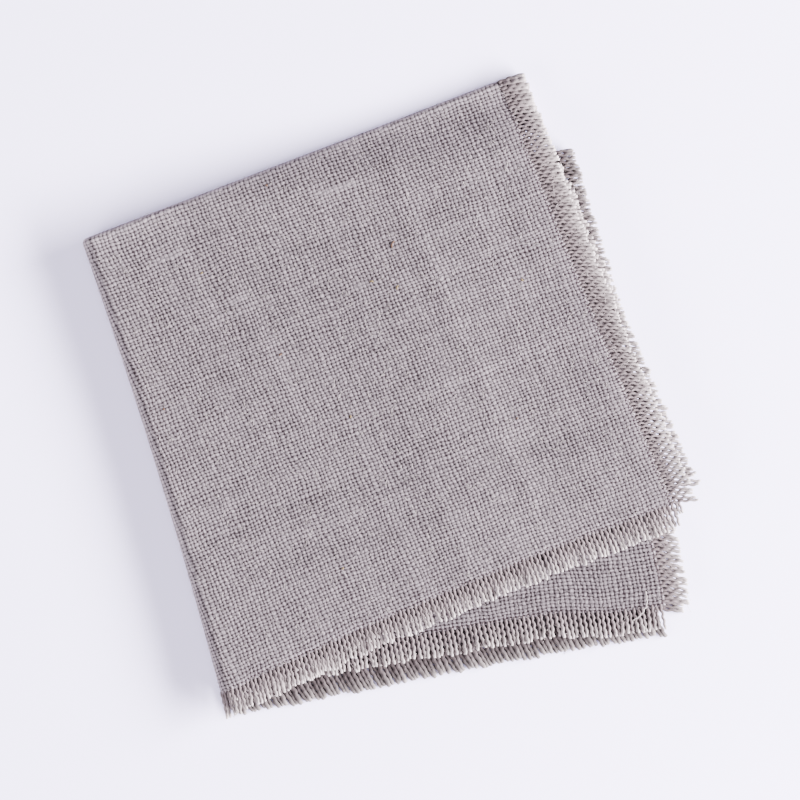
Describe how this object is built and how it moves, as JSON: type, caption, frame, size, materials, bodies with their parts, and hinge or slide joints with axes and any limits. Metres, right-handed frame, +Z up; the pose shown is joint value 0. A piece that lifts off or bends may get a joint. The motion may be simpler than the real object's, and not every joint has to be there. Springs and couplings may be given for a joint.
{
  "type": "folded cloth napkin",
  "caption": "Square linen napkin with frayed fringe on every side, folded in quarters and lying flat, its upper layers turned slightly against the lower ones.",
  "frame": {"origin": "middle of the flat underside's outline, on the surface the folded napkin lies on", "axes": "+Z up through the stacked layers, Y along the second fold, +X away from it towards the raw sides"},
  "size_m": [0.1616, 0.1793, 0.0083],
  "materials": {
    "linen": "plain weave, matt, washed",
    "linen_fringe": "loose crimped yarn ends, matt"
  },
  "bodies": {
    "root": {"cloth": "linen", "fringe_upper_side": "linen_fringe", "fringe_lower_side": "linen_fringe", "fringe_outer_hem": "linen_fringe", "fringe_inner_hem": "linen_fringe"}
  },
  "joints": []
}
